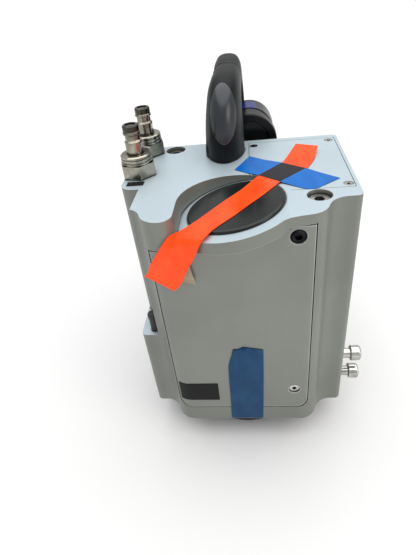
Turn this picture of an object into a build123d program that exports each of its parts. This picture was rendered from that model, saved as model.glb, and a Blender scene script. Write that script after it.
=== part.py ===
# Galvo scanner head for laser processing.
# Frame: origin at the centre of the lens cap's lower face, +Z up along the scan lens axis,
# +Y towards the rear module, +X towards the lock knobs. All sizes are in millimetres.
from build123d import *
import math
import os

os.makedirs("parts", exist_ok=True)

# ------------------------------------------------------------------ driving dimensions
# Housing envelope
body_height = 183.3       # milled housing, base face to top face
half_width = 76.0         # side walls from the lens axis
back_y = 62.0             # rear wall
front_y = -60.5           # flat front face
shoulder_y = -41.0        # side shoulders, set back from the front face
shoulder_x = half_width - 8.0         # where the S-shaped flank ends in the shoulder
flat_half = shoulder_x - 26.0         # half the width of the flat front face
corner_r = 4.0            # upright corner edges
wall = 10.0               # side walls
top_wall = 10.0           # roof of the housing

# Base plate and its rebate
base_t = 5.0
rebate = 4.0              # how much of the wall stays outside the base plate
fit_gap = 0.2             # assembly clearance of bolted plates

# Lens group
cap_height = 26.0         # lens cap, from its resting face to the base face
cap_r = 45.0
cap_wall = 2.2
flange_t = 5.0
flange_r = 42.5
barrel_r = 35.0
lens_r = 30.0
lens_land = 3.0           # shelf at the bottom of the barrel that carries the stack
lens_rim = 4.0            # width of the spacers and of the lenses' flat edge
lens_edges = [6.0, 5.0, 6.0]          # edge thickness, lowest lens first
lens_bulges = [(-1.5, 4.0), (3.0, 3.5), (3.0, 2.0)]   # crown of the lower and upper side
spacer_hs = [8.0, 9.0]
ring_h = 5.0
barrel_rim = 2.0
holder_r = 35.4
holder_h = 10.0
glass_r = 33.0
glass_t = 3.0
retainer_h = 2.0

# Tilted service port in the roof
port_tilt = 9.7           # degrees about Y, low on the left
port_x = 1.6
port_y = -36.6
port_drop = 5.2           # port centre below the roof
recess_r = 35.0           # wall of the recess around the port cap
lip_r = 37.3              # rounded lip that stands out over the front panel
lip_t = 6.5
lip_left = -15.8          # where the lip is cut off on the left
blend_x = flat_half + 1.0 # where the lip runs out into the front edge
mouth_r = 8.0             # rounded upright edge at the left of the recess
port_slab = 8.0
port_bore_r = 24.0
port_cap_r = 30.8
port_cap_h = 1.9
port_cap_round = 1.5      # rounded upper edge of the cap
gasket_wire = 1.5
window_r = 26.5
window_t = 3.0

# Front panel
panel_left = -flat_half - 10.0
panel_right = flat_half + 5.5
panel_bottom = 40.7
panel_t = 6.0
panel_corner = 9.0
panel_gap = 0.3
panel_step = 0.6          # stepped edge around the panel's outer face
panel_ledge = 9.0         # how far the frame of the panel opening reaches inwards
panel_screw_x = flat_half - 4.8
panel_screw_drop = 14.1   # upper screws below the roof line
panel_low_screw_z = 61.9
m5_head_r = 4.25
m5_head_h = 4.6
m5_shank_r = 2.5
m4_head_r = 3.9
m4_shank_r = 2.0
m3_head_r = 2.75
m3_shank_r = 1.5
sink_gap = 0.3            # how much wider a countersink is than its screw head
sink_rim = 0.3            # straight rim of a countersunk head
sink_mouth = 1.5          # how far a countersink's cutter reaches above the screw head
m5_bore_gap = 0.35        # radial clearance of the cap screw heads in the panel
m5_bore_chamfer = 0.6
hole_gap = 0.2            # radial clearance of a screw's through hole
m4_recess = 1.0           # how deep the heads sit under the surface
m3_recess = 0.15

# Notch at the upper left corner and the sensor plug in it
notch_x = -half_width + 13.5
notch_y = -14.3
notch_z = 102.6
notch_wall = 8.0
notch_corner_r = 9.0         # rounding of the upright corner behind the notch
plug_x = -half_width + 9.7
plug_y = -34.5
plug_r = 3.2
plug_rim = 0.4
plug_h = 12.0
plug_cap_h = 5.0

# Roof cover plate
cover_left = 10.45
cover_right = half_width - 2.6
cover_front = -29.0
cover_back = 56.0
cover_t = 3.0
cover_gap = 0.35
cover_screws_xy = [
    (14.2, 7.8),
    (13.9, 50.0),
    (cover_right - 4.4, 50.6),
    (cover_right - 3.5, -24.5),
]

# Mounting bolts (M8) through the housing
bolt_xy = [(half_width - 24.85, -37.7), (-half_width + 29.75, 52.9)]
bolt_r = 4.0              # thread
bolt_shank_r = 4.2
bolt_bore_r = 4.5
bolt_head_r = 6.5
bolt_head_h = 8.0
bolt_sink_r = 7.5
bolt_sink = 10.5
bolt_tail = 12.0          # thread standing out under the base face
column_r = 10.0
base_hole_x = half_width - 16.0       # threaded holes for the machine's carrier
base_hole_low_y = -28.0
base_hole_high_y = 46.0
base_hole_r = 2.5

# Cooling-water nipples
nipple_x = -half_width + 9.5
nipple_ys = [11.0, 51.0]
nipple_af = 22.0
nipple_turn = 46.0        # turn of the hexagons, a corner to the front
nipple_h = 34.8
nipple_bore_r = 3.6
nipple_thread_r = 6.5
nipple_thread = 11.0
poppet_r = 3.3
poppet_travel = 3.0
seal_t = 0.8
water_wall = 12.0
water_depth = 32.0
channel_r = 3.0

# Lock knobs on the right wall
knob_y = -21.0
knob_zs = [57.9, 36.6]
knob_head_r = 6.25
knob_head = 8.6
knob_neck = 8.6
knob_shank_r = 4.15
knob_pin_r = 3.0
knob_travel = 6.0
bush_r = 5.2
run_gap = 0.05            # radial running clearance of pins and shafts

# Galvanometer scanners
beam_z = 108.0
beam_x = -22.0            # laser axis and first mirror
motor_r = 12.5
motor_len = 32.0
shaft_r = 3.0
clamp_r = 5.0
clamp_len = 6.0
x_mirror_size = (14.0, 22.0, 1.4)
y_mirror_size = (24.0, 18.0, 1.6)
bridge_half = half_width - 22.0
bridge_front = -14.0
bridge_back = 34.0
bridge_leg = 8.0
bridge_roof_z = 130.0
bridge_roof_t = 12.0

# Driver boards
board_t = 1.6
board_len = 50.0
board_h = 110.0
board_low = 50.0
board_standoff = 5.0

# Rear module
rear_left = -half_width + 34.0
rear_right = half_width - 24.0
rear_len = 98.0
rear_low = 60.0
rear_top = 168.0
rear_wall = 3.0
rear_cover_t = 3.0
inlet_r = 9.0
inlet_bore_r = 6.5
collimator_r = 14.0
socket_flange_r = 18.0
socket_r = 12.0
socket_len = 22.0
connector_x = 24.0
power_z = 136.0
power_r = 13.0
power_len = 16.0
power_wall = 1.5
pin_r = 1.0
data_z = 88.0
data_flange = (42.0, 16.0, 2.0)       # width, height and corner radius
data_shell = (27.0, 10.0, 3.0)
data_mouth = (25.0, 8.0, 2.5)
data_len = 7.0

# Camera unit on the rear module
camera_x = 10.2
camera_z = rear_top + 35.3
camera_front = 74.0
camera_back = 126.0
camera_rim_r = 22.6
camera_body_r = 20.6
camera_cap_r = 16.8
camera_band_y = 98.0
camera_band_w = 18.0
camera_band_t = 0.5
band_gap = 0.2
saddle_half_w = 13.0
saddle_front = camera_front + 20.0
saddle_back = camera_back - 6.0

# Carry handle: stations of the grip from the front foot to the middle. Each gives the outer
# and the inner point (y, height over the roof), the x of its middle, the half width, how far
# along its depth the section is widest, and how square its outer side is (2 is an ellipse)
handle_x = -6.9
handle_back = 160.0
handle_w = 28.6
handle_h = 52.2
handle_stations = [
    ((19.2, 0.0), (51.0, 0.0), -6.9, 14.3, 0.84, 2.0),
    ((19.2, 12.0), (50.8, 10.5), -6.8, 13.9, 0.83, 2.0),
    ((20.2, 24.0), (52.0, 19.0), -6.5, 13.4, 0.82, 2.1),
    ((25.2, 37.0), (55.5, 25.5), -6.1, 12.7, 0.80, 2.2),
    ((35.2, 47.0), (61.0, 29.5), -5.6, 12.0, 0.77, 2.5),
    ((48.2, 51.4), (67.5, 31.5), -5.1, 11.4, 0.74, 2.8),
    ((61.5, handle_h), (74.0, 32.2), -4.7, 11.0, 0.71, 3.0),
    ((75.5, handle_h), (81.5, 32.2), -4.5, 10.8, 0.70, 3.0),
]
inset_x = -5.8
inset_half_w = 8.9
inset_low = 13.5
inset_high = 49.0
handle_inset_t = 2.0
inset_reach = 25.0        # how far back the inset's upper end reaches

# Plain tape across the port cap: its outlines on the roof and in the plane of the port
tape_t = 0.4
tape_lift = 0.15
tape_on_roof = [(44.2, 41.1), (32.6, 13.0), (15.9, -6.1), (29.3, -17.8), (47.4, 1.1), (50.6, 6.4),
                (58.9, 30.2)]
tape_on_port = [(26.8, 13.8), (11.0, 27.6), (-6.3, 7.3), (-25.6, -14.4), (-12.9, -26.6),
                (-3.0, -18.8), (13.0, -1.3)]

# ------------------------------------------------------------------ derived places
top_z = cap_height + body_height
tilt = math.radians(port_tilt)
port_z = top_z - port_drop
crease_x = port_x + port_drop / math.tan(tilt)
port_plane = Plane(
    origin=(port_x, port_y, port_z),
    x_dir=(math.cos(tilt), 0, math.sin(tilt)),
    z_dir=(-math.sin(tilt), 0, math.cos(tilt)),
)
flank_dx = shoulder_x - flat_half
flank_dy = shoulder_y - front_y
flank_r = (flank_dx**2 + flank_dy**2) / (4 * flank_dy)
flank_angle = math.degrees(2 * math.atan(flank_dy / flank_dx))
base_top = cap_height + base_t
cavity_back = back_y - wall
rear_back = back_y + rear_len


panel_top_screws = [
    (x, port_z + math.tan(tilt) * (min(x, crease_x) - port_x) - panel_screw_drop)
    for x in (-panel_screw_x, panel_screw_x)
]
lens_screw_r = (barrel_r + flange_r) / 2
panel_low_screws = [(x, panel_low_screw_z) for x in (-panel_screw_x, panel_screw_x)]
screw_inset = rebate + m3_head_r + 0.6
base_screws_xy = [
    (sign * (half_width - screw_inset), y)
    for sign in (-1, 1)
    for y in (shoulder_y + 9, 0.0, back_y - 13)
] + [(x, back_y - screw_inset) for x in (-15.0, 30.0)]
handle_front = handle_stations[0][0][0]
handle_d = handle_stations[0][1][0] - handle_front
handle_middle = (handle_front + handle_back) / 2
leg_ys = [handle_front + handle_d / 2, handle_back - handle_d / 2]


def roof_at(x):
    """Height of the tilted port face at x, no higher than the roof."""
    return min(top_z, port_z + math.tan(tilt) * (x - port_x))


# ------------------------------------------------------------------ shared profiles
def outline_prism(inset, low, high, mode=Mode.ADD):
    """Block with the housing's plan outline, moved inwards by inset."""
    side_x = half_width - inset
    rear_y = back_y - inset
    with BuildSketch(Plane.XY.offset(low)) as plan:
        with BuildLine():
            front = Line((0, front_y + inset), (flat_half, front_y + inset))
            bulge = JernArc(front @ 1, front % 1, flank_r - inset, flank_angle)
            hollow = JernArc(bulge @ 1, bulge % 1, flank_r + inset, -flank_angle)
            Polyline(hollow @ 1, (2 * half_width, (hollow @ 1).Y), (2 * half_width, rear_y), (0, rear_y))
            mirror(about=Plane.YZ)
        make_face()
        Rectangle(2 * side_x, 4 * half_width, mode=Mode.INTERSECT)
        if inset < corner_r:
            fillet(vertices().filter_by(lambda v: abs(abs(v.X) - side_x) < 0.01), corner_r - inset)
    extrude(plan.sketch, amount=high - low, mode=mode)


def box_between(low, high, mode=Mode.ADD):
    """Box from its lowest corner to its highest corner."""
    size = [b - a for a, b in zip(low, high)]
    with Locations(low):
        Box(*size, align=(Align.MIN, Align.MIN, Align.MIN), mode=mode)


def panel_window(grow, mode=Mode.ADD):
    """Upright prism with the front panel's outline, from the middle plane to the front."""
    right = panel_right + grow
    left = panel_left - grow
    drop = lip_t - grow
    with BuildSketch(Plane.XZ) as window:
        with BuildLine():
            Polyline(
                (left, panel_bottom - grow),
                (right, panel_bottom - grow),
                (right, roof_at(right) - drop),
                (crease_x, roof_at(crease_x) - drop),
                (left, roof_at(left) - drop),
                close=True,
            )
        make_face()
        fillet(vertices().sort_by(Axis.Y)[:2], panel_corner)
    extrude(window.sketch, amount=2 * abs(front_y), mode=mode)


# ------------------------------------------------------------------ housing
with BuildPart() as lip:
    lip_low = top_z - 30
    edge_y = port_y - math.sqrt(lip_r**2 - (lip_left - port_x) ** 2)
    leave = math.radians(-58)
    leave_point = (port_x + lip_r * math.cos(leave), port_y + lip_r * math.sin(leave))
    inside_y = front_y + wall / 2
    with BuildSketch(Plane.XY.offset(lip_low)):
        with BuildLine():
            start = Line((lip_left, inside_y), (lip_left, edge_y))
            nose = ThreePointArc(start @ 1, (port_x, port_y - lip_r), leave_point)
            run_out = TangentArc(nose @ 1, (blend_x, front_y), tangent=nose % 1)
            Polyline(run_out @ 1, (blend_x, inside_y), (lip_left, inside_y))
        make_face()
    extrude(amount=top_z - lip_low)
    with BuildSketch(Plane.XZ) as lip_band:
        with BuildLine():
            far_left = lip_left - 1
            far_right = blend_x + 1
            Polyline(
                (far_left, roof_at(far_left)),
                (crease_x, top_z),
                (far_right, top_z),
                (far_right, top_z - lip_t),
                (crease_x, top_z - lip_t),
                (far_left, roof_at(far_left) - lip_t),
                close=True,
            )
        make_face()
    extrude(amount=3 * abs(front_y), mode=Mode.INTERSECT)

with BuildPart() as recess:
    mouth_front = front_y - port_y
    with BuildSketch(port_plane):
        Circle(recess_r)
        with Locations((0, mouth_front)):
            Rectangle(2 * recess_r, 2 * abs(mouth_front))
        with BuildLine():
            flare = Polyline(
                (-recess_r, mouth_front + mouth_r),
                (-recess_r, mouth_front - 1),
                (-recess_r - mouth_r, mouth_front - 1),
                (-recess_r - mouth_r, mouth_front),
            )
            ThreePointArc(
                flare @ 1,
                (
                    -recess_r - mouth_r * (1 - math.sqrt(0.5)),
                    mouth_front + mouth_r * (1 - math.sqrt(0.5)),
                ),
                flare @ 0,
            )
        make_face()
    extrude(amount=3 * port_drop)

with BuildPart() as cavity:
    outline_prism(wall, cap_height - 1, top_z - top_wall)
    box_between(
        (-half_width, front_y, notch_z - notch_wall),
        (notch_x + notch_wall, notch_y + notch_wall, top_z),
        mode=Mode.SUBTRACT,
    )
    box_between(
        (-half_width, notch_y, top_z - water_depth),
        (-half_width + wall + water_wall, back_y, top_z),
        mode=Mode.SUBTRACT,
    )
    with Locations(*[(x, y, cap_height - 1) for x, y in bolt_xy]):
        Cylinder(column_r, body_height, align=(Align.CENTER, Align.CENTER, Align.MIN),
                 mode=Mode.SUBTRACT)

with BuildPart() as panel_pocket:
    panel_window(panel_gap)
    outline_prism(0, cap_height, top_z, mode=Mode.INTERSECT)
    outline_prism(panel_t, cap_height, top_z, mode=Mode.SUBTRACT)

with BuildPart() as port_round:
    with BuildSketch(port_plane.offset(-2 * port_slab)):
        Circle(recess_r)
    extrude(amount=4 * port_slab)

with BuildPart() as cover_pocket:
    with BuildSketch(Plane.XY.offset(top_z - cover_t)):
        with Locations(((cover_left + cover_right) / 2, (cover_front + cover_back) / 2)):
            RectangleRounded(cover_right - cover_left + 2 * cover_gap,
                             cover_back - cover_front + 2 * cover_gap, cover_gap + 1)
    extrude(amount=cover_t + 1)
    add(port_round.part, mode=Mode.SUBTRACT)

with BuildPart() as housing:
    outline_prism(0, cap_height, top_z)
    add(cavity.part, mode=Mode.SUBTRACT)
    # thick floor under the tilted recess
    slab_r = recess_r + port_slab / 2
    slab_front = front_y - port_y + wall / 2
    with BuildSketch(port_plane.offset(-port_slab)):
        Circle(slab_r)
        with Locations((0, slab_front / 2)):
            Rectangle(2 * slab_r, abs(slab_front))
    extrude(amount=port_slab)
    box_between((-half_width, front_y, top_z), (half_width, back_y, top_z + wall),
                mode=Mode.SUBTRACT)
    add(lip.part)
    add(recess.part, mode=Mode.SUBTRACT)
    # port bore and window seat
    with BuildSketch(port_plane):
        Circle(port_bore_r)
    extrude(amount=-2 * port_slab, mode=Mode.SUBTRACT)
    with BuildSketch(port_plane):
        Circle(window_r + fit_gap)
    extrude(amount=-window_t - gasket_wire, mode=Mode.SUBTRACT)
    # opening for the front panel, with a frame to screw it to
    add(panel_pocket.part, mode=Mode.SUBTRACT)
    box_between(
        (-panel_screw_x + panel_ledge, front_y - 1, panel_bottom + panel_ledge),
        (panel_screw_x - panel_ledge, front_y + 2 * wall,
         roof_at(panel_left) - lip_t - 2 * panel_ledge),
        mode=Mode.SUBTRACT,
    )
    # notch at the upper left corner
    box_between((-half_width - 1, front_y - 1, notch_z), (notch_x, notch_y, top_z + 1),
                mode=Mode.SUBTRACT)
    # rounded upright corner behind the notch
    with BuildSketch(Plane.XY.offset(notch_z)):
        with Locations((-half_width, notch_y)):
            Rectangle(notch_corner_r, notch_corner_r, align=(Align.MIN, Align.MIN))
        with Locations((-half_width + notch_corner_r, notch_y + notch_corner_r)):
            Circle(notch_corner_r, mode=Mode.SUBTRACT)
    extrude(amount=top_z - notch_z + 1, mode=Mode.SUBTRACT)
    # rebate for the base plate
    outline_prism(rebate, cap_height, base_top, mode=Mode.SUBTRACT)
    # pocket and opening for the roof cover plate
    add(cover_pocket.part, mode=Mode.SUBTRACT)
    cover_ledge = 9.0
    box_between((cover_left + cover_ledge, port_y + recess_r + cover_ledge + 2, top_z - top_wall - 1),
                (cover_right - 2 * cover_ledge, cover_back - cover_ledge, top_z),
                mode=Mode.SUBTRACT)
    # mounting bolts
    with Locations(*[(x, y, top_z) for x, y in bolt_xy]):
        CounterBoreHole(bolt_bore_r, bolt_sink_r, bolt_sink)
    # cooling ports, joined by a drilled channel
    with Locations(*[(nipple_x, y, top_z) for y in nipple_ys]):
        Hole(nipple_thread_r, depth=nipple_thread + 1)
        Hole(channel_r, depth=water_depth - wall)
    channel_len = nipple_ys[1] - nipple_ys[0]
    with Locations((nipple_x, nipple_ys[0], top_z - water_depth + wall)):
        Cylinder(channel_r, channel_len, rotation=(-90, 0, 0),
                 align=(Align.CENTER, Align.CENTER, Align.MIN), mode=Mode.SUBTRACT)
    # bushes of the lock knobs
    with Locations(*[(half_width - wall / 2, knob_y, z) for z in knob_zs]):
        Cylinder(bush_r, wall + 2, rotation=(0, 90, 0), mode=Mode.SUBTRACT)
    # laser inlet in the rear wall
    with Locations((beam_x, back_y - wall / 2, beam_z)):
        Cylinder(inlet_r, wall + 2, rotation=(90, 0, 0), mode=Mode.SUBTRACT)
    # threads of the screws that go into the housing
    with Locations(*[(x, front_y + panel_t, z) for x, z in panel_top_screws]):
        Cylinder(m5_shank_r, 2 * wall, rotation=(90, 0, 0), mode=Mode.SUBTRACT)
    with Locations(*[(x, front_y + panel_t, z) for x, z in panel_low_screws]):
        Cylinder(m4_shank_r, 2 * wall, rotation=(90, 0, 0), mode=Mode.SUBTRACT)
    with Locations(*[(x, y, top_z - cover_t) for x, y in cover_screws_xy]):
        Hole(m3_shank_r, depth=cover_t + 3)
    with Locations(*[(x, y, base_top) for x, y in base_screws_xy]):
        Cylinder(m3_shank_r, 2 * base_t, mode=Mode.SUBTRACT)
    with Locations((handle_x, leg_ys[0], top_z)):
        Hole(m5_shank_r + 0.5, depth=top_wall + 1)

# ------------------------------------------------------------------ front panel and its screws
def countersunk_screw(head_r, shank_r, length):
    """Solid of a countersunk screw, head face up at z = 0."""
    with BuildPart() as screw:
        with BuildSketch(Plane.XZ):
            with BuildLine():
                Polyline((0, 0), (head_r, 0), (head_r, -sink_rim),
                         (shank_r, -sink_rim - head_r + shank_r), (shank_r, -length),
                         (0, -length), close=True)
            make_face()
        revolve(axis=Axis.Z)
        with BuildSketch():
            RegularPolygon(head_r * 0.45, 6)
        extrude(amount=-head_r * 0.5, mode=Mode.SUBTRACT)
    return screw.part


def countersink_cutter(head_r, hole_r, length):
    """Solid that clears a countersunk screw all round; the screw's head face is at z = 0."""
    wide_r = head_r + sink_gap
    with BuildPart() as cutter:
        with BuildSketch(Plane.XZ):
            with BuildLine():
                Polyline((0, sink_mouth), (wide_r, sink_mouth), (wide_r, -sink_rim),
                         (hole_r, -sink_rim - wide_r + hole_r), (hole_r, -length),
                         (0, -length), close=True)
            make_face()
        revolve(axis=Axis.Z)
    return cutter.part


low_screw = countersunk_screw(m4_head_r, m4_shank_r - run_gap, panel_t + wall / 2)
low_cutter = countersink_cutter(m4_head_r, m4_shank_r + hole_gap, 2 * panel_t)
cover_screw = countersunk_screw(m3_head_r, m3_shank_r - run_gap, cover_t + 2.5)
cover_cutter = countersink_cutter(m3_head_r, m3_shank_r + hole_gap, 2 * cover_t)
base_screw = countersunk_screw(m3_head_r, m3_shank_r - run_gap, base_t + 4)
base_cutter = countersink_cutter(m3_head_r, m3_shank_r + hole_gap, 2 * base_t)
low_screw_planes = [
    Plane(origin=(x, front_y + m4_recess, z), x_dir=(1, 0, 0), z_dir=(0, -1, 0))
    for x, z in panel_low_screws
]
cover_screw_planes = [
    Plane(origin=(x, y, top_z - m3_recess), z_dir=(0, 0, 1)) for x, y in cover_screws_xy
]
base_screw_planes = [
    Plane(origin=(x, y, cap_height + m3_recess), z_dir=(0, 0, -1)) for x, y in base_screws_xy
]

with BuildPart() as panel_body:
    panel_window(0)
    outline_prism(panel_step, cap_height, top_z, mode=Mode.INTERSECT)
    outline_prism(panel_t, cap_height, top_z, mode=Mode.SUBTRACT)

with BuildPart() as panel_face:
    panel_window(-panel_step)
    outline_prism(0, cap_height, top_z, mode=Mode.INTERSECT)
    outline_prism(panel_step, cap_height, top_z, mode=Mode.SUBTRACT)

m5_bore_r = m5_head_r + m5_bore_gap
with BuildPart() as front_panel:
    add(panel_body.part)
    add(panel_face.part)
    with Locations(*[(x, front_y, z) for x, z in panel_top_screws]):
        Cylinder(m5_shank_r + 0.3, 4 * panel_t, rotation=(90, 0, 0), mode=Mode.SUBTRACT)
        Cylinder(m5_bore_r, 2 * m5_head_h, rotation=(90, 0, 0), mode=Mode.SUBTRACT)
        Cone(m5_bore_r, m5_bore_r + 2 * m5_bore_chamfer, 2 * m5_bore_chamfer,
             rotation=(90, 0, 0), mode=Mode.SUBTRACT)
    with Locations(*low_screw_planes):
        add(low_cutter, mode=Mode.SUBTRACT)

with BuildPart() as panel_cap_screws:
    for x, z in panel_top_screws:
        seat = Plane(origin=(x, front_y + m5_head_h, z), x_dir=(1, 0, 0), z_dir=(0, -1, 0))
        with BuildSketch(seat):
            Circle(m5_head_r)
        extrude(amount=m5_head_h)
        with BuildSketch(seat):
            Circle(m5_shank_r - run_gap)
        extrude(amount=-wall)
        chamfer(panel_cap_screws.faces().sort_by(Axis.Y)[0].edges(), 0.5)
        with BuildSketch(seat.offset(m5_head_h)):
            RegularPolygon(m5_head_r * 0.54, 6)
        extrude(amount=-m5_head_h * 0.55, mode=Mode.SUBTRACT)


with BuildPart() as panel_countersunk_screws:
    with Locations(*low_screw_planes):
        add(low_screw)

# ------------------------------------------------------------------ roof cover plate
with BuildPart() as top_cover_plate:
    with BuildSketch(Plane.XY.offset(top_z - cover_t)):
        with Locations(((cover_left + cover_right) / 2, (cover_front + cover_back) / 2)):
            RectangleRounded(cover_right - cover_left, cover_back - cover_front, 1)
    extrude(amount=cover_t)
    add(port_round.part, mode=Mode.SUBTRACT)
    with Locations((bolt_xy[0][0], bolt_xy[0][1], top_z)):
        Cylinder(bolt_sink_r + 0.6, 4 * cover_t, mode=Mode.SUBTRACT)
    with Locations(*cover_screw_planes):
        add(cover_cutter, mode=Mode.SUBTRACT)

with BuildPart() as top_cover_screws:
    with Locations(*cover_screw_planes):
        add(cover_screw)

# ------------------------------------------------------------------ base plate and mounting bolts
with BuildPart() as base_plate:
    outline_prism(rebate + fit_gap, cap_height, base_top)
    with Locations((0, 0, cap_height)):
        Cylinder(barrel_r + fit_gap, 4 * base_t, mode=Mode.SUBTRACT)
    with Locations(*[(x, y, cap_height) for x, y in bolt_xy]):
        Cylinder(bolt_bore_r, 4 * base_t, mode=Mode.SUBTRACT)
    with Locations(*[
        (sign * base_hole_x, y, cap_height)
        for sign in (-1, 1)
        for y in (base_hole_low_y, base_hole_high_y)
    ]):
        Cylinder(base_hole_r, 4 * base_t, mode=Mode.SUBTRACT)
    with Locations(*base_screw_planes):
        add(base_cutter, mode=Mode.SUBTRACT)
    with Locations((0, 0, cap_height)):
        with PolarLocations(lens_screw_r, 6, start_angle=30):
            Cylinder(m3_shank_r, 4 * base_t, mode=Mode.SUBTRACT)

with BuildPart() as base_plate_screws:
    with Locations(*base_screw_planes):
        add(base_screw)

with BuildPart() as mounting_bolts:
    for x, y in bolt_xy:
        head_plane = Plane.XY.offset(top_z - bolt_sink)
        with BuildSketch(head_plane):
            with Locations((x, y)):
                Circle(bolt_head_r)
        extrude(amount=bolt_head_h)
        with BuildSketch(head_plane):
            with Locations((x, y)):
                Circle(bolt_shank_r)
        extrude(amount=-(head_plane.origin.Z - cap_height))
        with BuildSketch(Plane.XY.offset(cap_height)):
            with Locations((x, y)):
                Circle(bolt_r)
        extrude(amount=-bolt_tail)
        with BuildSketch(head_plane.offset(bolt_head_h)):
            with Locations((x, y)):
                RegularPolygon(bolt_head_r * 0.53, 6)
        extrude(amount=-bolt_head_h * 0.6, mode=Mode.SUBTRACT)

# ------------------------------------------------------------------ tilted port: window, gasket, cap
with BuildPart() as port_window:
    with BuildSketch(port_plane.offset(-window_t - gasket_wire)):
        Circle(window_r)
    extrude(amount=window_t)

with BuildPart() as port_gasket:
    with BuildSketch(port_plane.offset(-gasket_wire)):
        Circle(window_r)
        Circle(window_r - 2 * gasket_wire, mode=Mode.SUBTRACT)
    extrude(amount=gasket_wire)

with BuildPart() as port_cap:
    with BuildSketch(port_plane):
        Circle(port_cap_r)
    extrude(amount=port_cap_h)
    fillet(port_cap.faces().sort_by(Axis.Z)[-1].edges(), port_cap_round)

# ------------------------------------------------------------------ carry handle
def half_section(half_w, depth, square, points=7):
    """Points of half of a rounded section, from its right end over its top to its left end."""
    spread = [math.pi * i / (points - 1) for i in range(points)]
    return [
        (
            half_w * math.copysign(abs(math.cos(a)) ** (2 / square), math.cos(a)),
            depth * abs(math.sin(a)) ** (2 / square),
        )
        for a in spread
    ]


with BuildPart() as handle_half:
    middle_station = (
        (handle_middle, handle_h),
        (handle_middle, handle_stations[-1][1][1]),
        *handle_stations[-1][2:],
    )
    for outer, inner, mid_x, half_w, widest, square in (*handle_stations, middle_station):
        depth = math.dist(outer, inner)
        up_y = (outer[0] - inner[0]) / depth
        up_z = (outer[1] - inner[1]) / depth
        centre_y = outer[0] - widest * depth * up_y
        centre_z = top_z + outer[1] - widest * depth * up_z
        across = Plane(origin=(mid_x, centre_y, centre_z), x_dir=(1, 0, 0), z_dir=(0, up_z, -up_y))
        side = 1 if across.y_dir.Y * up_y + across.y_dir.Z * up_z > 0 else -1
        outside = [(x, side * y) for x, y in half_section(half_w, widest * depth, square)]
        inside = [(x, -side * y) for x, y in half_section(half_w, (1 - widest) * depth, square)]
        with BuildSketch(across):
            with BuildLine():
                Spline(*outside, tangents=[(0, side), (0, -side)])
                Spline(*inside, tangents=[(0, -side), (0, side)])
            make_face()
    loft()

with BuildPart() as inset_cutter:
    with BuildSketch(Plane.XZ.offset(-handle_front - inset_reach)):
        with Locations((inset_x, top_z + (inset_low + inset_high) / 2)):
            Ellipse(inset_half_w, (inset_high - inset_low) / 2)
    extrude(amount=inset_reach + 2)
    add(Pos(0, handle_inset_t, 0) * handle_half.part, mode=Mode.SUBTRACT)

with BuildPart() as handle_inset_front:
    add(handle_half.part)
    add(inset_cutter.part, mode=Mode.INTERSECT)

with BuildPart() as handle_inset_rear:
    add(handle_inset_front.part.mirror(Plane.XZ.offset(-handle_middle)))

with BuildPart() as pocketed_half:
    add(handle_half.part)
    add(inset_cutter.part, mode=Mode.SUBTRACT)
    with Locations((handle_x, leg_ys[0], top_z)):
        Hole(m5_shank_r, depth=wall)

with BuildPart() as carry_handle:
    add(pocketed_half.part)
    add(pocketed_half.part.mirror(Plane.XZ.offset(-handle_middle)))

with BuildPart() as handle_screws:
    for y, seat_z in zip(leg_ys, (top_z - top_wall, top_z - wall)):
        seat = Plane(origin=(handle_x, y, seat_z), z_dir=(0, 0, -1))
        with BuildSketch(seat):
            Circle(m5_head_r)
        extrude(amount=m5_head_h)
        with BuildSketch(seat):
            Circle(m5_shank_r - run_gap)
        extrude(amount=-wall - top_wall + 1)
        with BuildSketch(seat.offset(m5_head_h)):
            RegularPolygon(m5_head_r * 0.54, 6)
        extrude(amount=-m5_head_h * 0.55, mode=Mode.SUBTRACT)

# ------------------------------------------------------------------ cooling-water nipples
def nipple_solid(y):
    """Quick-coupling nipple: thread, hexagon, grooved collar and plug end."""
    tip = nipple_h
    flat_half_w = 5.2
    flat_h = 5.0
    flat_z = 20.5
    with BuildPart() as nipple:
        with BuildSketch(Plane.XZ):
            with BuildLine():
                Polyline(
                    (0, -nipple_thread), (nipple_thread_r - run_gap, -nipple_thread),
                    (nipple_thread_r - run_gap, seal_t), (10.6, seal_t), (10.6, 10.6), (10.0, 11.0),
                    (10.0, 11.6), (10.6, 12.0), (10.6, 12.9), (10.0, 13.3), (10.0, 13.9),
                    (10.6, 14.3), (10.6, 15.0), (9.9, 15.7), (6.0, 16.0), (6.0, 24.0),
                    (5.0, 25.0), (5.0, 28.0), (5.9, 28.8), (5.9, 30.0), (5.4, 30.6),
                    (5.6, 31.2), (5.6, tip - 0.7), (4.9, tip), (0, tip),
                    close=True,
                )
            make_face()
        revolve(axis=Axis.Z)
        with BuildSketch(Plane.XY.offset(seal_t)):
            RegularPolygon(nipple_af / 2, 6, major_radius=False, rotation=nipple_turn)
        extrude(amount=8.6)
        with Locations(*[(sign * (flat_half_w + nipple_af / 2), 0, flat_z) for sign in (-1, 1)]):
            Box(nipple_af, nipple_af, flat_h, mode=Mode.SUBTRACT)
        with Locations((0, 0, tip)):
            Hole(nipple_bore_r, depth=tip - 12)
        with Locations((0, 0, 12)):
            Hole(channel_r - 0.5, depth=12 + nipple_thread + 1)
    return Pos(nipple_x, y, top_z) * nipple.part


with BuildPart() as supply_nipple:
    add(nipple_solid(nipple_ys[0]))
with BuildPart() as return_nipple:
    add(nipple_solid(nipple_ys[1]))


def poppet_solid(y):
    """Valve poppet in the nipple's bore, its stem on the bore's seat."""
    with BuildPart() as poppet:
        with BuildSketch(Plane.XZ):
            with BuildLine():
                Polyline(
                    (0, 15.3), (1.2, 15.3), (1.2, 27.0), (poppet_r, 29.0),
                    (poppet_r, 33.6), (2.2, 34.2), (0, 34.2),
                    close=True,
                )
            make_face()
        revolve(axis=Axis.Z)
    return Pos(nipple_x, y, top_z) * poppet.part


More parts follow.
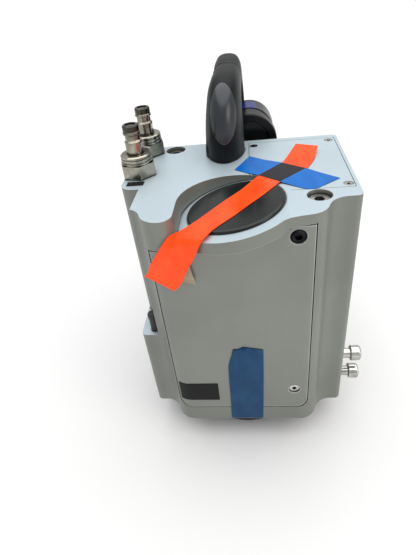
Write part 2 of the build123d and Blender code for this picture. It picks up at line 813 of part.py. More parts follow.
with BuildPart() as supply_poppet:
    add(poppet_solid(nipple_ys[0]))
with BuildPart() as return_poppet:
    add(poppet_solid(nipple_ys[1]))

with BuildPart() as nipple_seals:
    for y in nipple_ys:
        with BuildSketch(Plane.XY.offset(top_z)):
            with Locations((nipple_x, y)):
                Circle(nipple_af * 0.45)
                Circle(nipple_thread_r + 0.2, mode=Mode.SUBTRACT)
        extrude(amount=seal_t)

# ------------------------------------------------------------------ lock knobs
knob_names = ("upper_lock_knob", "lower_lock_knob")
lock_knobs = {}
for knob_name, knob_z in zip(knob_names, knob_zs):
    with BuildPart() as knob:
        face = half_width
        with BuildSketch(Plane(origin=(face, knob_y, knob_z), x_dir=(1, 0, 0), z_dir=(0, -1, 0))):
            with BuildLine():
                Polyline((-wall, 0), (-wall, knob_shank_r), (knob_neck, knob_shank_r),
                         (knob_neck, knob_head_r - 1.2))
                ThreePointArc((knob_neck, knob_head_r - 1.2), (knob_neck + 0.4, knob_head_r - 0.35),
                              (knob_neck + 1.2, knob_head_r))
                Line((knob_neck + 1.2, knob_head_r), (knob_neck + knob_head - 2, knob_head_r))
                ThreePointArc((knob_neck + knob_head - 2, knob_head_r),
                              (knob_neck + knob_head - 0.6, knob_head_r - 0.6),
                              (knob_neck + knob_head, knob_head_r - 2))
                Polyline((knob_neck + knob_head, knob_head_r - 2), (knob_neck + knob_head, 0),
                         (-wall, 0))
            make_face()
        revolve(axis=Axis((0, knob_y, knob_z), (1, 0, 0)))
        with Locations((face - wall, knob_y, knob_z)):
            Cylinder(knob_pin_r, 8.0, rotation=(0, -90, 0),
                     align=(Align.CENTER, Align.CENTER, Align.MIN))
    lock_knobs[knob_name] = knob

with BuildPart() as lock_knob_bushes:
    for z in knob_zs:
        with BuildSketch(Plane(origin=(half_width - wall, knob_y, z), z_dir=(1, 0, 0))):
            Circle(bush_r)
            Circle(knob_shank_r + run_gap, mode=Mode.SUBTRACT)
        extrude(amount=wall)

with BuildPart() as latch_block:
    latch_right = half_width - wall - 2
    box_between((latch_right - 14, knob_y - 5.5, base_top),
                (latch_right, knob_y + 5.5, knob_zs[0] + 12))
    with Locations(*[(latch_right, knob_y, z) for z in knob_zs]):
        Cylinder(knob_pin_r + run_gap, 2 * (knob_travel + 1), rotation=(0, 90, 0),
                 mode=Mode.SUBTRACT)

# ------------------------------------------------------------------ sensor plug in the notch
with BuildPart() as sensor_plug:
    with BuildSketch(Plane.XY.offset(notch_z)):
        with Locations((plug_x, plug_y)):
            Circle(plug_r)
    extrude(amount=plug_h)
with BuildPart() as sensor_plug_cap:
    with BuildSketch(Plane.XY.offset(notch_z + plug_h)):
        with Locations((plug_x, plug_y)):
            Circle(plug_r + plug_rim)
    extrude(amount=plug_cap_h)
    fillet(sensor_plug_cap.faces().sort_by(Axis.Z)[-1].edges(), plug_r * 0.55)

# ------------------------------------------------------------------ scan lens and its cap
flange_low = cap_height - flange_t
lens_lows = [
    flange_low + lens_land + sum(lens_edges[:i]) + sum(spacer_hs[:i]) for i in range(3)
]
stack_top = lens_lows[2] + lens_edges[2]
barrel_top = stack_top + ring_h + barrel_rim

with BuildPart() as lens_barrel:
    with BuildSketch(Plane.XY.offset(flange_low)):
        Circle(flange_r)
    extrude(amount=flange_t)
    with BuildSketch(Plane.XY.offset(cap_height)):
        Circle(barrel_r)
    extrude(amount=barrel_top - cap_height)
    with BuildSketch(Plane.XY.offset(flange_low)):
        Circle(lens_r - lens_rim)
    extrude(amount=barrel_top - flange_low, mode=Mode.SUBTRACT)
    with BuildSketch(Plane.XY.offset(flange_low + lens_land)):
        Circle(lens_r + run_gap)
    extrude(amount=barrel_top - flange_low, mode=Mode.SUBTRACT)
    with Locations((0, 0, flange_low)):
        with PolarLocations(lens_screw_r, 6, start_angle=30):
            Cylinder(m3_shank_r + 0.2, 4 * flange_t, mode=Mode.SUBTRACT)


def crown_middle(rim, sag):
    """Point halfway along a spherical crown: distance from the axis and height over the rim."""
    radius = (rim**2 + sag**2) / (2 * sag)
    half_angle = math.asin(rim / radius) / 2
    return radius * math.sin(half_angle), sag - radius * (1 - math.cos(half_angle))


lenses = []
for low, edge, (under, over) in zip(lens_lows, lens_edges, lens_bulges):
    with BuildPart() as lens:
        rim_x = lens_r - lens_rim
        over_x, over_z = crown_middle(rim_x, over)
        under_x, under_z = crown_middle(rim_x, under)
        with BuildSketch(Plane.XZ):
            with BuildLine():
                Line((0, low - under), (0, low + edge + over))
                ThreePointArc((0, low + edge + over), (over_x, low + edge + over_z), (rim_x, low + edge))
                Polyline((rim_x, low + edge), (lens_r, low + edge), (lens_r, low), (rim_x, low))
                ThreePointArc((rim_x, low), (under_x, low - under_z), (0, low - under))
            make_face()
        revolve(axis=Axis.Z)
    lenses.append(lens)
lens_lower, lens_middle, lens_upper = lenses

with BuildPart() as lens_spacers:
    for low, edge, height in zip(lens_lows, lens_edges, spacer_hs):
        with BuildSketch(Plane.XY.offset(low + edge)):
            Circle(lens_r - run_gap)
            Circle(lens_r - lens_rim, mode=Mode.SUBTRACT)
        extrude(amount=height)

with BuildPart() as lens_retaining_ring:
    with BuildSketch(Plane.XY.offset(stack_top)):
        Circle(lens_r - run_gap)
        Circle(lens_r - lens_rim, mode=Mode.SUBTRACT)
    extrude(amount=ring_h)
    with BuildSketch(Plane.XY.offset(stack_top + ring_h)):
        Rectangle(2.5, 2 * lens_r)
    extrude(amount=-2, mode=Mode.SUBTRACT)

with BuildPart() as lens_flange_screws:
    with Locations((0, 0, flange_low)):
        with PolarLocations(lens_screw_r, 6, start_angle=30):
            Cylinder(m3_head_r, 3.0, align=(Align.CENTER, Align.CENTER, Align.MAX))
            Cylinder(m3_shank_r - run_gap, flange_t + base_t,
                     align=(Align.CENTER, Align.CENTER, Align.MIN))

with BuildPart() as glass_holder:
    with BuildSketch(Plane.XY.offset(flange_low)):
        Circle(holder_r)
        Circle(lens_r - lens_rim, mode=Mode.SUBTRACT)
    extrude(amount=-holder_h)
    with BuildSketch(Plane.XY.offset(flange_low - holder_h)):
        Circle(glass_r + fit_gap)
    extrude(amount=glass_t + retainer_h, mode=Mode.SUBTRACT)

with BuildPart() as protective_glass:
    with BuildSketch(Plane.XY.offset(flange_low - holder_h + retainer_h)):
        Circle(glass_r)
    extrude(amount=glass_t)

with BuildPart() as glass_retainer:
    with BuildSketch(Plane.XY.offset(flange_low - holder_h)):
        Circle(glass_r)
        Circle(lens_r - lens_rim, mode=Mode.SUBTRACT)
    extrude(amount=retainer_h)

with BuildPart() as lens_cap:
    with BuildSketch(Plane.XY):
        Circle(cap_r)
    extrude(amount=cap_height - 0.3)
    chamfer(lens_cap.faces().sort_by(Axis.Z)[0].edges(), 1.2)
    with BuildSketch(Plane.XY.offset(cap_wall + 0.8)):
        Circle(flange_r + 0.15)
    extrude(amount=cap_height, mode=Mode.SUBTRACT)
    with Locations((0, 0, cap_height * 0.35)):
        with PolarLocations(cap_r + 0.8, 48):
            Cylinder(1.2, cap_height * 0.35, align=(Align.CENTER, Align.CENTER, Align.MIN),
                     mode=Mode.SUBTRACT)

# ------------------------------------------------------------------ galvanometer scanners
with BuildPart() as galvo_bridge:
    box_between((-bridge_half, bridge_front, base_top),
                (bridge_half, bridge_back, bridge_roof_z + bridge_roof_t))
    box_between((-bridge_half + bridge_leg, bridge_front - 1, base_top - 1),
                (bridge_half - bridge_leg, bridge_back + 1, bridge_roof_z), mode=Mode.SUBTRACT)
    box_between((-motor_r - 2.5, bridge_back - bridge_roof_t, beam_z - motor_r - 2.5),
                (motor_r + 2.5, bridge_back, bridge_roof_z))
    with Locations((beam_x, 0, bridge_roof_z)):
        Cylinder(motor_r + run_gap, 4 * bridge_roof_t, mode=Mode.SUBTRACT)
    with Locations((0, bridge_back, beam_z)):
        Cylinder(motor_r + run_gap, 4 * bridge_roof_t, rotation=(90, 0, 0), mode=Mode.SUBTRACT)

with BuildPart() as x_galvo_stator:
    with BuildSketch(Plane.XY.offset(bridge_roof_z)):
        with Locations((beam_x, 0)):
            Circle(motor_r)
            Circle(shaft_r + run_gap, mode=Mode.SUBTRACT)
    extrude(amount=motor_len)

y_motor_front = cavity_back - 2 - motor_len
with BuildPart() as y_galvo_stator:
    with BuildSketch(Plane(origin=(0, y_motor_front, beam_z), z_dir=(0, 1, 0))):
        Circle(motor_r)
        Circle(shaft_r + run_gap, mode=Mode.SUBTRACT)
    extrude(amount=motor_len)

x_mirror_w, x_mirror_h, x_mirror_t = x_mirror_size
y_mirror_len, y_mirror_w, y_mirror_t = y_mirror_size
x_clamp_low = beam_z + x_mirror_h / 2
with BuildPart() as x_rotor:
    with Locations((beam_x, 0, x_clamp_low)):
        Cylinder(clamp_r, clamp_len, align=(Align.CENTER, Align.CENTER, Align.MIN))
        Cylinder(shaft_r, bridge_roof_z + motor_len + 1 - x_clamp_low,
                 align=(Align.CENTER, Align.CENTER, Align.MIN))

with BuildPart() as x_mirror:
    with Locations(Location((beam_x, 0, beam_z), (0, 0, -45))):
        Box(x_mirror_w, x_mirror_t, x_mirror_h)

y_clamp_front = y_mirror_len / 2
with BuildPart() as y_rotor:
    with BuildSketch(Plane(origin=(0, y_clamp_front, beam_z), z_dir=(0, 1, 0))):
        Circle(clamp_r)
    extrude(amount=clamp_len)
    with BuildSketch(Plane(origin=(0, y_clamp_front, beam_z), z_dir=(0, 1, 0))):
        Circle(shaft_r)
    extrude(amount=y_motor_front + motor_len + 1 - y_clamp_front)

with BuildPart() as y_mirror:
    with Locations(Location((0, 0, beam_z), (0, 45, 0))):
        Box(y_mirror_w, y_mirror_len, y_mirror_t)

# ------------------------------------------------------------------ driver boards
boards = {}
board_front = -4.0
board_back = board_front + board_len
board_x = half_width - wall - board_standoff
for side, board_name in ((1, "x_driver_board"), (-1, "y_driver_board")):
    inner = side * (board_x - board_t)
    with BuildPart() as board:
        with Locations((side * (board_x - board_t / 2), (board_front + board_back) / 2,
                        board_low + board_h / 2)):
            Box(board_t, board_len, board_h)
        with Locations((inner - side * 3, bridge_back + 4.5, board_low + board_h / 2)):
            Box(6, 6, board_h * 0.6)
        with Locations((inner - side * 1, board_front + 12, board_low + board_h * 0.88)):
            Box(2, 14, 14)
    boards[board_name] = board

with BuildPart() as board_standoffs:
    for side in (1, -1):
        for y in (board_front + 5, board_back - 5):
            for z in (board_low + 5, board_low + board_h - 5):
                with BuildSketch(Plane(origin=(side * board_x, y, z), z_dir=(side, 0, 0))):
                    Circle(2.5)
                extrude(amount=board_standoff)

# ------------------------------------------------------------------ rear module
with BuildPart() as rear_module:
    box_between((rear_left, back_y, rear_low), (rear_right, rear_back, rear_top))
    box_between((rear_left + rear_wall, back_y + rear_wall, rear_low + rear_wall),
                (rear_right - rear_wall, rear_back + 1, rear_top - rear_wall), mode=Mode.SUBTRACT)
    box_between((handle_x - handle_w / 2, leg_ys[1] - handle_d / 2, rear_top),
                (handle_x + handle_w / 2, handle_back, top_z))
    with Locations((handle_x, leg_ys[1], rear_low + 20)):
        Cylinder(m5_head_r + 0.5, top_z - wall - rear_low - 20,
                 align=(Align.CENTER, Align.CENTER, Align.MIN), mode=Mode.SUBTRACT)
        Cylinder(m5_shank_r + 0.5, top_z, align=(Align.CENTER, Align.CENTER, Align.MIN),
                 mode=Mode.SUBTRACT)
    with Locations((beam_x, back_y, beam_z)):
        Cylinder(inlet_r, 4 * rear_wall, rotation=(90, 0, 0), mode=Mode.SUBTRACT)

with BuildPart() as rear_module_cover:
    box_between((rear_left, rear_back, rear_low), (rear_right, rear_back + rear_cover_t, rear_top))
    with Locations((beam_x, rear_back, beam_z)):
        Cylinder(socket_r - 1, 4 * rear_cover_t, rotation=(90, 0, 0), mode=Mode.SUBTRACT)

with BuildPart() as inlet_tube:
    with BuildSketch(Plane(origin=(beam_x, cavity_back - 2, beam_z), z_dir=(0, 1, 0))):
        Circle(inlet_r - run_gap)
        Circle(inlet_bore_r, mode=Mode.SUBTRACT)
    extrude(amount=wall + rear_wall + 8)

collimator_front = cavity_back - 2 + wall + rear_wall + 8
with BuildPart() as collimator_tube:
    with BuildSketch(Plane(origin=(beam_x, collimator_front, beam_z), z_dir=(0, 1, 0))):
        Circle(collimator_r)
        Circle(inlet_bore_r, mode=Mode.SUBTRACT)
    extrude(amount=rear_back - collimator_front)

with BuildPart() as fibre_socket:
    cover_face = rear_back + rear_cover_t
    with BuildSketch(Plane(origin=(beam_x, cover_face, beam_z), z_dir=(0, 1, 0))):
        Circle(socket_flange_r)
    extrude(amount=3)
    with BuildSketch(Plane(origin=(beam_x, cover_face, beam_z), z_dir=(0, 1, 0))):
        Circle(socket_r)
    extrude(amount=socket_len)
    with BuildSketch(Plane(origin=(beam_x, cover_face, beam_z), z_dir=(0, 1, 0))):
        Circle(inlet_bore_r)
    extrude(amount=socket_len, mode=Mode.SUBTRACT)

with BuildPart() as power_connector:
    with BuildSketch(Plane(origin=(connector_x, cover_face, power_z), z_dir=(0, 1, 0))):
        RectangleRounded(2 * power_r + 2, 2 * power_r + 2, 3)
    extrude(amount=3)
    with BuildSketch(Plane(origin=(connector_x, cover_face, power_z), z_dir=(0, 1, 0))):
        Circle(power_r - power_wall)
    extrude(amount=power_len)
    with BuildSketch(Plane(origin=(connector_x, cover_face + 4, power_z), z_dir=(0, 1, 0))):
        Circle(power_r - 2 * power_wall)
    extrude(amount=power_len - 4, mode=Mode.SUBTRACT)
    with BuildSketch(Plane(origin=(connector_x, cover_face + 4, power_z), z_dir=(0, 1, 0))):
        with PolarLocations(power_r * 0.42, 6):
            Circle(pin_r)
    extrude(amount=power_len / 2)

with BuildPart() as data_connector:
    with BuildSketch(Plane(origin=(connector_x, cover_face, data_z), z_dir=(0, 1, 0))):
        RectangleRounded(*data_flange)
    extrude(amount=1.5)
    with BuildSketch(Plane(origin=(connector_x, cover_face, data_z), z_dir=(0, 1, 0))):
        RectangleRounded(*data_shell)
        RectangleRounded(*data_mouth, mode=Mode.SUBTRACT)
    extrude(amount=data_len)

# ------------------------------------------------------------------ camera unit
with BuildPart() as camera_barrel:
    with BuildSketch(Plane(origin=(camera_x, 0, camera_z), x_dir=(0, 1, 0), z_dir=(-1, 0, 0))):
        with BuildLine():
            waist = camera_front + 9
            Polyline((camera_front, 0), (camera_front, 0.1))
            Polyline((camera_front, 0.1), (camera_front, camera_rim_r - 0.8),
                     (camera_front + 0.8, camera_rim_r), (waist, camera_rim_r),
                     (waist + 5, camera_body_r - 1.4), (waist + 8, camera_body_r),
                     (camera_back - 3, camera_body_r))
            ThreePointArc((camera_back - 3, camera_body_r),
                          (camera_back - 0.9, camera_body_r - 0.9),
                          (camera_back, camera_body_r - 3))
            Polyline((camera_back, camera_body_r - 3), (camera_back, 0), (camera_front, 0))
        make_face()
    revolve(axis=Axis((camera_x, 0, camera_z), (0, 1, 0)))
    with BuildSketch(Plane(origin=(camera_x, camera_front, camera_z), z_dir=(0, 1, 0))):
        Circle(camera_cap_r + fit_gap)
    extrude(amount=5, mode=Mode.SUBTRACT)

with BuildPart() as camera_end_cap:
    with BuildSketch(Plane(origin=(camera_x, camera_front + 2, camera_z), z_dir=(0, 1, 0))):
        Circle(camera_cap_r)
    extrude(amount=3)
    fillet(camera_end_cap.faces().sort_by(Axis.Y)[0].edges(), 1.4)

with BuildPart() as camera_band:
    with BuildSketch(Plane(origin=(camera_x, camera_band_y, camera_z), z_dir=(0, 1, 0))):
        Circle(camera_body_r + camera_band_t)
        Circle(camera_body_r + run_gap, mode=Mode.SUBTRACT)
    extrude(amount=camera_band_w)

with BuildPart() as camera_saddle:
    box_between((camera_x - saddle_half_w, saddle_front, rear_top),
                (camera_x + saddle_half_w, saddle_back, camera_z - camera_body_r * 0.72))
    with Locations((camera_x, camera_back, camera_z)):
        Cylinder(camera_body_r + camera_band_t + band_gap, 4 * camera_body_r,
                 rotation=(90, 0, 0), mode=Mode.SUBTRACT)

# ------------------------------------------------------------------ tape across the port cap
with BuildPart() as barrier_tape:
    with BuildSketch(Plane.XY.offset(top_z + tape_lift)):
        with BuildLine():
            Polyline(*tape_on_roof, close=True)
        make_face()
    extrude(amount=tape_t)
    with BuildSketch(port_plane.offset(port_cap_h + tape_lift)):
        with BuildLine():
            Polyline(*tape_on_port, close=True)
        make_face()
    extrude(amount=tape_t)

# ------------------------------------------------------------------ export
finished = {
    "housing": housing, "front_panel": front_panel, "panel_cap_screws": panel_cap_screws,
    "panel_countersunk_screws": panel_countersunk_screws, "top_cover_plate": top_cover_plate,
    "top_cover_screws": top_cover_screws, "base_plate": base_plate,
    "base_plate_screws": base_plate_screws, "mounting_bolts": mounting_bolts,
    "port_window": port_window, "port_gasket": port_gasket, "port_cap": port_cap,
    "carry_handle": carry_handle, "handle_inset_front": handle_inset_front,
    "handle_inset_rear": handle_inset_rear, "handle_screws": handle_screws,
    "supply_nipple": supply_nipple, "return_nipple": return_nipple,
    "supply_poppet": supply_poppet, "return_poppet": return_poppet,
    "nipple_seals": nipple_seals, "lock_knob_bushes": lock_knob_bushes,
    "latch_block": latch_block, "sensor_plug": sensor_plug,
    "sensor_plug_cap": sensor_plug_cap, "lens_barrel": lens_barrel,
    "lens_lower": lens_lower, "lens_middle": lens_middle, "lens_upper": lens_upper,
    "lens_spacers": lens_spacers, "lens_retaining_ring": lens_retaining_ring,
    "lens_flange_screws": lens_flange_screws, "glass_holder": glass_holder,
    "protective_glass": protective_glass, "glass_retainer": glass_retainer,
    "lens_cap": lens_cap, "galvo_bridge": galvo_bridge, "x_galvo_stator": x_galvo_stator,
    "y_galvo_stator": y_galvo_stator, "x_rotor": x_rotor, "x_mirror": x_mirror,
    "y_rotor": y_rotor, "y_mirror": y_mirror, "board_standoffs": board_standoffs,
    "rear_module": rear_module, "rear_module_cover": rear_module_cover,
    "inlet_tube": inlet_tube, "collimator_tube": collimator_tube,
    "fibre_socket": fibre_socket, "power_connector": power_connector,
    "data_connector": data_connector, "camera_barrel": camera_barrel,
    "camera_end_cap": camera_end_cap, "camera_band": camera_band,
    "camera_saddle": camera_saddle, "barrier_tape": barrier_tape,
    **lock_knobs, **boards,
}
for name, piece in finished.items():
    piece.part.label = name
    export_step(piece.part, f"parts/{name}.step")
print(len(finished), "nodes written")
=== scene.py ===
# %% [markdown]
# # Galvo scanner head
# A scanner head steers a laser beam with two small mirrors and focuses it with a
# lens under its floor. The construction is already there as a fixed frame of parts.
# This notebook gives every part its finish, adds the thin soft things that lie on
# the head, such as tape and plates, and sets up a plain studio around it.

# %% Load the fixed frame
import math

import bpy
import bmesh
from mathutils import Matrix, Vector


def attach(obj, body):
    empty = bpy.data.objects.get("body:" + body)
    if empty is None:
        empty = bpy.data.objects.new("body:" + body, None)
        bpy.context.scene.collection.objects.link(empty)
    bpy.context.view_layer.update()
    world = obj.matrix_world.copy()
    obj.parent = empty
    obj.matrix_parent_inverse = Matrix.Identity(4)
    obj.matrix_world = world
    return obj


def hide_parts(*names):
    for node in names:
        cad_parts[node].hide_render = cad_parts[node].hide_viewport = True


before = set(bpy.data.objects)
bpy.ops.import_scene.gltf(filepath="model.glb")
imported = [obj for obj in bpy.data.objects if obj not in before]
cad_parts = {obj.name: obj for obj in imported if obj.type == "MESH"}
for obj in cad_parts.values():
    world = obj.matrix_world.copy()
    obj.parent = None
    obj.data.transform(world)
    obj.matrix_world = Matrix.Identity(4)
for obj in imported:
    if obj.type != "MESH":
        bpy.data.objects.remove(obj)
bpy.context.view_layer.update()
mm = 0.001
bpy.ops.object.select_all(action="DESELECT")
print("parts in the frame:", len(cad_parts))

# %% [markdown]
# ## Helpers for materials
# A finish is a small network of nodes. Colours are written as sRGB hex values, which
# is how a colour chart gives them, and one function turns them to the linear values
# that the shader expects. One more function adds a node with its settings and links,
# so that a finish reads as a short list.

# %% Colour and node helpers
def linear(hex_code):
    """Linear RGBA of an sRGB hex colour."""
    channels = [int(hex_code[i:i + 2], 16) / 255 for i in (1, 3, 5)]
    bright = [c / 12.92 if c <= 0.04045 else ((c + 0.055) / 1.055) ** 2.4 for c in channels]
    return (*bright, 1.0)


def add_node(material, kind, inputs=None, **settings):
    """A new node with its properties set and its sockets filled or linked."""
    tree = material.node_tree
    node = tree.nodes.new(kind)
    for name, value in settings.items():
        setattr(node, name, value)
    for name, value in (inputs or {}).items():
        if isinstance(value, bpy.types.NodeSocket):
            tree.links.new(value, node.inputs[name])
        else:
            node.inputs[name].default_value = value
    return node


def start_material(name):
    """An empty material, its shader and the Object coordinates that its patterns read."""
    material = bpy.data.materials.new(name)
    material.use_nodes = True
    material.node_tree.nodes.clear()
    shader = add_node(material, "ShaderNodeBsdfPrincipled")
    add_node(material, "ShaderNodeOutputMaterial", {"Surface": shader.outputs["BSDF"]})
    place = add_node(material, "ShaderNodeTexCoord").outputs["Object"]
    return material, shader, place


def mix_colours(material, factor, first, second):
    """Colour socket between two colours; each is a hex code or a socket."""
    node = add_node(material, "ShaderNodeMix", {"Factor": factor}, data_type="RGBA")
    for name, colour in (("A", first), ("B", second)):
        socket = [s for s in node.inputs if s.name == name and s.type == "RGBA"][0]
        if isinstance(colour, str):
            socket.default_value = linear(colour)
        else:
            material.node_tree.links.new(colour, socket)
    return [s for s in node.outputs if s.type == "RGBA"][0]


def fill(material, shader, **sockets):
    """Sets or links the shader's sockets; underscores stand for spaces."""
    for name, value in sockets.items():
        socket = shader.inputs[name.replace("_", " ")]
        if isinstance(value, bpy.types.NodeSocket):
            material.node_tree.links.new(value, socket)
        else:
            socket.default_value = value


def ramp(material, factor, low, high, low_value, high_value):
    """Float socket that runs from low_value to high_value as factor goes from low to high."""
    return add_node(material, "ShaderNodeMapRange", {
        "Value": factor, "From Min": low, "From Max": high,
        "To Min": low_value, "To Max": high_value}).outputs["Result"]


def noise(material, place, size, detail=3.0, stretch=None):
    """Float socket of a noise whose blotches are about size metres across."""
    if stretch:
        place = add_node(material, "ShaderNodeMapping",
                         {"Vector": place, "Scale": stretch}).outputs[0]
    return add_node(material, "ShaderNodeTexNoise", {
        "Vector": place, "Scale": 0.5 / size, "Detail": detail}).outputs["Fac"]


def edge_highlight_mask(material, radius):
    """Float socket that is 1 on the sharp edges of a piece and 0 away from them; it places
    painted highlights.
    """
    rounded = add_node(material, "ShaderNodeBevel", {"Radius": radius}, samples=6)
    flat = add_node(material, "ShaderNodeNewGeometry").outputs["Normal"]
    turn = add_node(material, "ShaderNodeVectorMath",
                    {0: rounded.outputs[0], 1: flat}, operation="DOT_PRODUCT")
    return ramp(material, turn.outputs["Value"], 0.98, 0.8, 0.0, 1.0)


def hollow_shade_mask(material, reach):
    """Float socket that is 1 in narrow hollows, where light hardly comes, and 0 outside; it
    places painted shade.
    """
    open_share = add_node(material, "ShaderNodeAmbientOcclusion", {"Distance": reach},
                          samples=8).outputs["AO"]
    return ramp(material, open_share, 0.5, 0.9, 1.0, 0.0)


# %% [markdown]
# ## Anodised aluminium
# The housing is milled from a block, blasted with glass beads and anodised. Blasting
# leaves a fine even grain that scatters light, so the metal looks satin and pale, and
# the oxide layer makes it a little glassy. Upward faces carry a paler, cooler colour
# than the sides, which is painted light. Edges are broken by hand; the Bevel node
# rounds their shading without touching the mesh, and a pale line of colour along them
# is a painted highlight. Seams and narrow hollows carry a painted shade.

# %% Bead-blasted anodised aluminium
# Colour of the painted shade in seams and narrow hollows.
hollow_shade_colour = "#2E302F"


def anodised_aluminium(name, base, shade, edge_highlight, roughness=0.45, metallic=0.4, streak=0.0,
                       painted_top_light=None, edge_width=0.5 * mm):
    material, shader, place = start_material(name)
    handling = noise(material, place, 35 * mm, detail=4)
    grain = noise(material, place, 0.5 * mm, detail=2)
    colour = mix_colours(material, ramp(material, handling, 0.4, 0.62, 0.0, 1.0), base, shade)
    if streak:
        brushed = noise(material, place, 1.2 * mm, detail=2, stretch=(1.0, 1.0, 0.03))
        lines = ramp(material, brushed, 0.35, 0.65, 0.0, streak)
        colour = mix_colours(material, lines, colour, shade)
    # Painted light: faces that look up take a paler, cooler colour than the sides.
    if painted_top_light:
        normal = add_node(material, "ShaderNodeNewGeometry").outputs["Normal"]
        height = add_node(material, "ShaderNodeSeparateXYZ", {"Vector": normal}).outputs["Z"]
        top_light_share = ramp(material, height, 0.55, 0.97, 0.0, 1.0)
        colour = mix_colours(material, top_light_share, colour, painted_top_light)
    # Painted highlight: a pale line of colour on sharp edges.
    colour = mix_colours(material, edge_highlight_mask(material, edge_width), colour, edge_highlight)
    # Painted shade: seams and narrow hollows are darkened.
    colour = mix_colours(material, hollow_shade_mask(material, 1.5 * mm), colour, hollow_shade_colour)
    rounded = add_node(material, "ShaderNodeBevel", {"Radius": 0.5 * mm}, samples=4)
    bump = add_node(material, "ShaderNodeBump", {
        "Strength": 0.18, "Distance": 0.1 * mm, "Height": grain, "Normal": rounded.outputs[0]})
    fill(material, shader, Base_Color=colour, Metallic=metallic,
         Roughness=ramp(material, handling, 0.3, 0.7, roughness - 0.05, roughness + 0.06),
         Normal=bump.outputs[0])
    return material


# Painted light: the housing's upward faces take the paler colour given last.
body_finish = anodised_aluminium("bead_blasted_aluminium", "#848781", "#7F827C", "#CDD1D0",
                                 painted_top_light="#BDCCD4", edge_width=0.5 * mm)
# The third colour of each aluminium finish is a painted highlight on its edges, wide and bright
# along the panel's seams.
panel_finish = anodised_aluminium("blasted_panel_aluminium", "#8B8E88", "#858882", "#F4F6F5",
                                  roughness=0.48, streak=0.15, edge_width=1.1 * mm)
plain_finish = anodised_aluminium("machined_aluminium", "#B9BBBD", "#A2A4A6", "#DADCDD",
                                  roughness=0.35, metallic=0.8)
dark_finish = anodised_aluminium("black_anodised_aluminium", "#1B1C1E", "#232427", "#55585C",
                                 roughness=0.45, metallic=0.4)

# %% [markdown]
# ## Bright metals
# The nipples are brass plated with nickel, turned on a lathe, so they are smooth,
# a little yellow and marked by fine rings around their axis. Screws and knobs are
# steel: the knobs are polished, the countersunk screws are duller, and the socket-head
# screws have a black oxide skin that lets the steel show where a key has rubbed.
# Narrow hollows, such as hexagon sockets, carry a painted shade, the tops of the
# nipples above their mouths carry a painted dark reflection, and the edges of nipples
# and screws carry a painted highlight.

# %% Turned, polished and blackened metal
def bright_metal(name, base, shade, roughness, wear=6 * mm, edge_highlight=None,
                 painted_dark=None, dark_tip_from=None):
    material, shader, place = start_material(name)
    cloud = noise(material, place, wear, detail=4)
    rings = noise(material, place, 0.35 * mm, detail=2, stretch=(0.05, 0.05, 1.0))
    colour = mix_colours(material, ramp(material, cloud, 0.42, 0.66, 0.0, 1.0), base, shade)
    # Painted highlight: a pale line of colour on sharp edges.
    if edge_highlight:
        colour = mix_colours(material, edge_highlight_mask(material, 0.35 * mm), colour, edge_highlight)
    # Painted dark reflection: the nipples darken above the height of their mouths.
    if dark_tip_from:
        height = add_node(material, "ShaderNodeSeparateXYZ", {"Vector": place}).outputs["Z"]
        dark_tip_share = ramp(material, height, dark_tip_from, dark_tip_from + 2 * mm, 0.0, 0.85)
        colour = mix_colours(material, dark_tip_share, colour, painted_dark)
    # Painted shade: narrow hollows, such as hexagon sockets, are darkened.
    if painted_dark:
        colour = mix_colours(material, hollow_shade_mask(material, 2.5 * mm), colour, painted_dark)
    bump = add_node(material, "ShaderNodeBump",
                    {"Strength": 0.12, "Distance": 0.05 * mm, "Height": rings})
    fill(material, shader, Base_Color=colour, Metallic=1.0,
         Roughness=ramp(material, cloud, 0.3, 0.7, roughness * 0.7, roughness * 1.4),
         Normal=bump.outputs[0])
    return material


nipple_mouth_z = 238.3 * mm
# The nickel's dark colour at the nipple tops is a painted dark reflection, in its hollows a
# painted shade, and its pale edges a painted highlight.
nickel_finish = bright_metal("nickel_plated_brass", "#A3A093", "#6E6B5F", 0.2, edge_highlight="#E8E6DC",
                             painted_dark="#2B2A26", dark_tip_from=nipple_mouth_z)
polished_finish = bright_metal("polished_steel", "#C4C4C0", "#9E9E99", 0.12)
# Painted highlight on the screws' white edges, painted shade in their sockets.
screw_finish = bright_metal("zinc_plated_steel", "#D2D2CE", "#A8A7A0", 0.22, edge_highlight="#FFFFFF",
                            painted_dark="#1A1A19")
bronze_finish = bright_metal("bearing_bronze", "#B98F4E", "#94703A", 0.32)
oxide_finish = bright_metal("black_oxide_steel", "#1C1C1F", "#2C2C2F", 0.35, wear=3 * mm)

# %% [markdown]
# ## Plastics and rubber
# The handle is moulded from glass-filled nylon with a fine spark-eroded texture,
# which gives a soft broad sheen. The port cap is a smooth moulding that has been
# handled, so its gloss is broken by fine scuffs. Seals are matt rubber.

# %% Moulded plastic
def moulded_plastic(name, base, shade, roughness, relief=0.25, scuff=0.0,
                    edge_highlight=None, gloss=0.5):
    material, shader, place = start_material(name)
    cloud = noise(material, place, 18 * mm, detail=4)
    texture = noise(material, place, 0.4 * mm, detail=2)
    dull = ramp(material, cloud, 0.3, 0.7, roughness - 0.04, roughness + 0.06)
    if scuff:
        scratches = noise(material, place, 3 * mm, detail=6, stretch=(1.0, 0.12, 1.0))
        lines = ramp(material, scratches, 0.6, 0.72, 0.0, scuff)
        dull = add_node(material, "ShaderNodeMath",
                        {0: dull, 1: lines}, operation="ADD").outputs[0]
    colour = mix_colours(material, ramp(material, cloud, 0.35, 0.65, 0.0, 1.0), base, shade)
    # Painted highlight: a pale line of colour on sharp edges.
    if edge_highlight:
        colour = mix_colours(material, edge_highlight_mask(material, 0.45 * mm), colour, edge_highlight)
    bump = add_node(material, "ShaderNodeBump",
                    {"Strength": relief, "Distance": 0.08 * mm, "Height": texture})
    fill(material, shader, Base_Color=colour, Roughness=dull, Normal=bump.outputs[0],
         Specular_IOR_Level=gloss)
    return material


